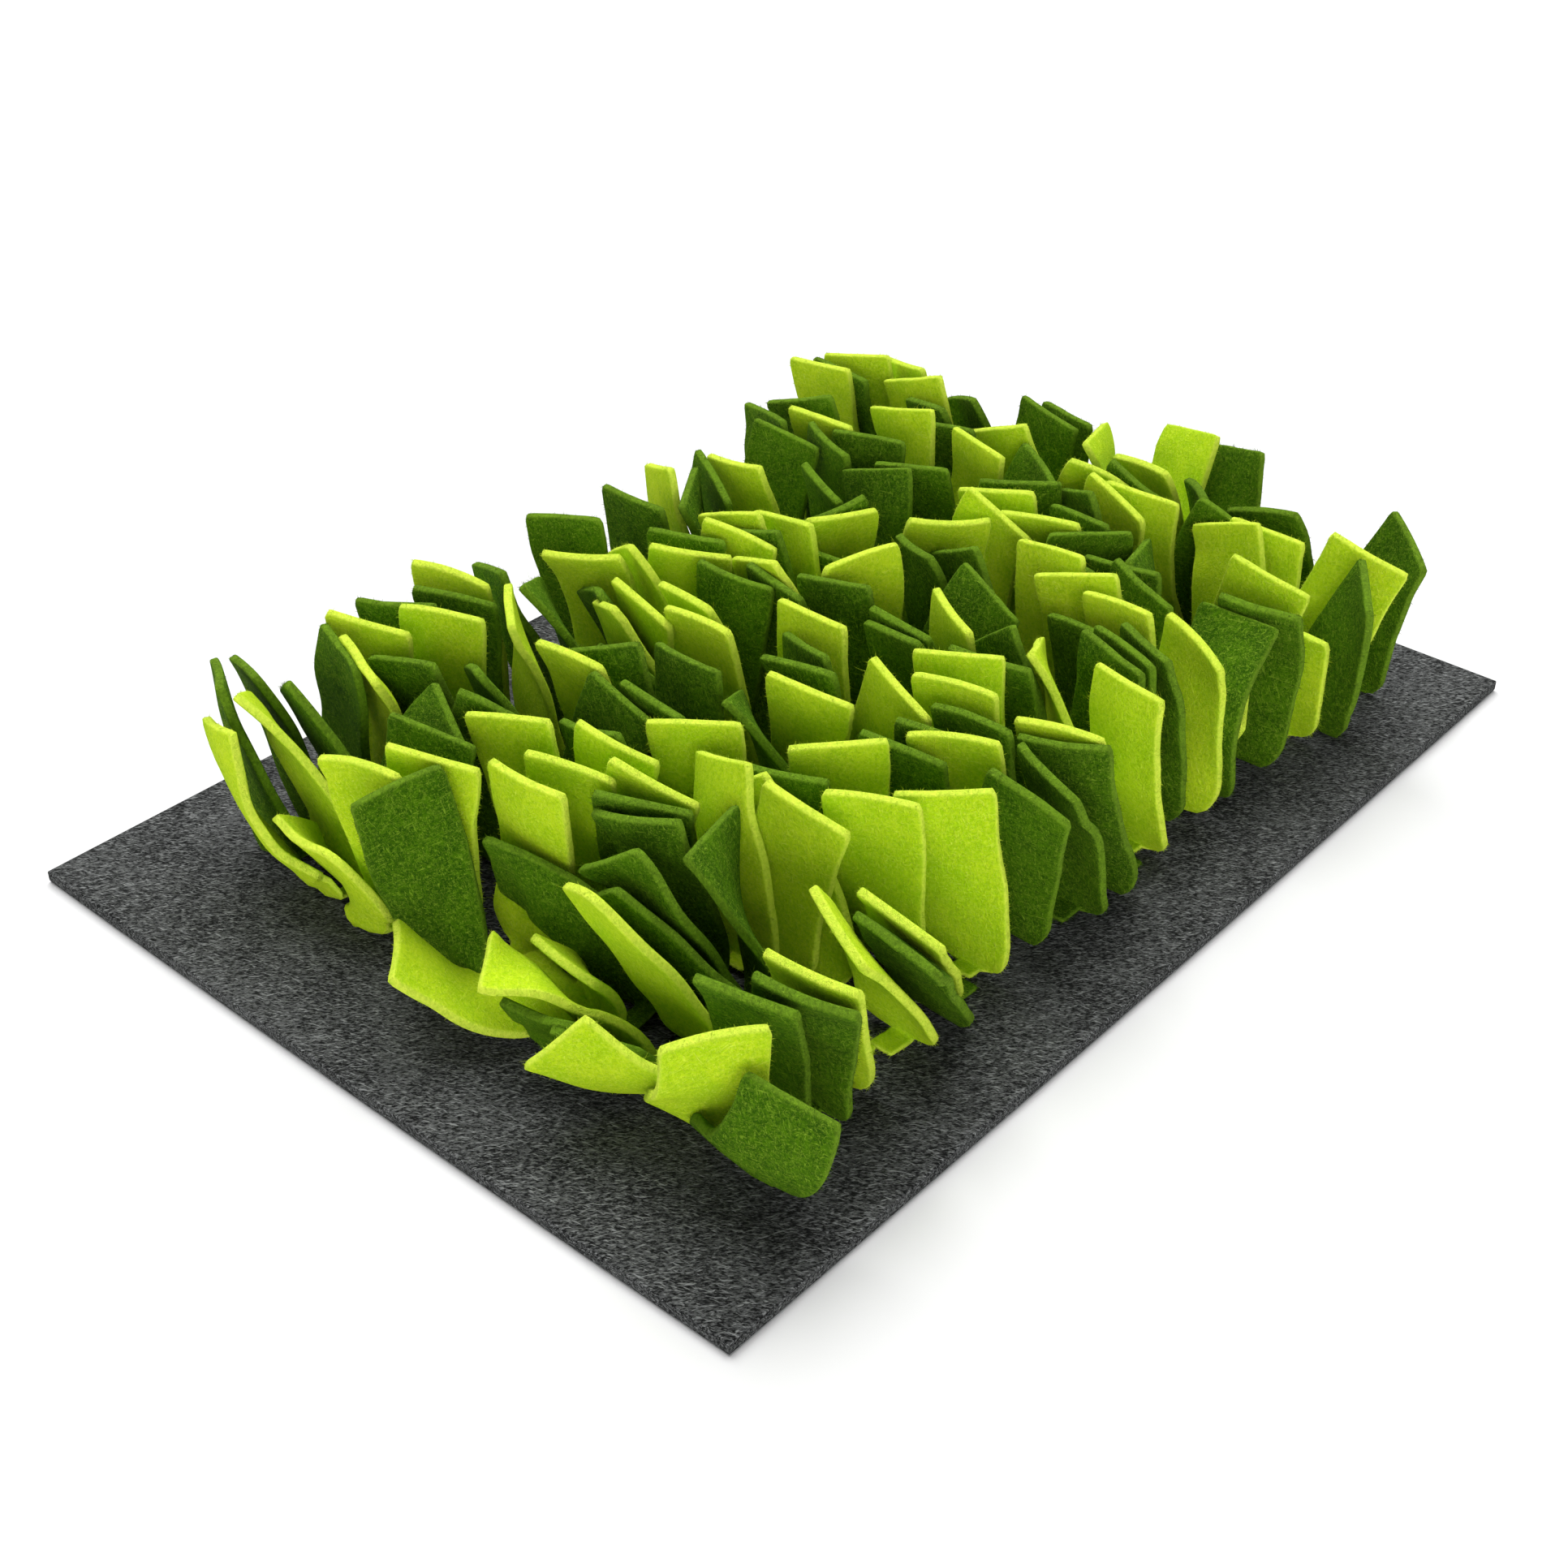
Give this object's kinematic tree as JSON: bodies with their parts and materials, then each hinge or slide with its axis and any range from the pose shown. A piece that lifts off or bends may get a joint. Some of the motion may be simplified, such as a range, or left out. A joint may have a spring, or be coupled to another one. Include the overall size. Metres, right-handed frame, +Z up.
{
  "type": "snuffle mat",
  "caption": "Flat rectangular felt mat with sewn rows of standing felt strips in which dry pet food is hidden.",
  "frame": {"origin": "middle of the base mat's underside, on the surface that it lies on", "axes": "+X along the mat's long side, +Y along its short side and along the seams, +Z up through the pile"},
  "size_m": [0.42, 0.3027, 0.0796],
  "materials": {
    "base_felt": "thick pressed felt, charcoal with light grey flecks",
    "lime_felt": "soft pressed felt, lime green, cut edges a little fuzzy",
    "dark_felt": "soft pressed felt, dark green, cut edges a little fuzzy"
  },
  "bodies": {
    "root": {"base_mat": "base_felt", "row_1_lime": "lime_felt", "row_1_dark": "dark_felt", "row_2_lime": "lime_felt", "row_2_dark": "dark_felt", "row_3_lime": "lime_felt", "row_3_dark": "dark_felt", "row_4_lime": "lime_felt", "row_4_dark": "dark_felt", "row_5_lime": "lime_felt", "row_5_dark": "dark_felt", "row_6_lime": "lime_felt", "row_6_dark": "dark_felt", "row_7_lime": "lime_felt", "row_7_dark": "dark_felt", "row_8_lime": "lime_felt", "row_8_dark": "dark_felt"}
  },
  "joints": []
}
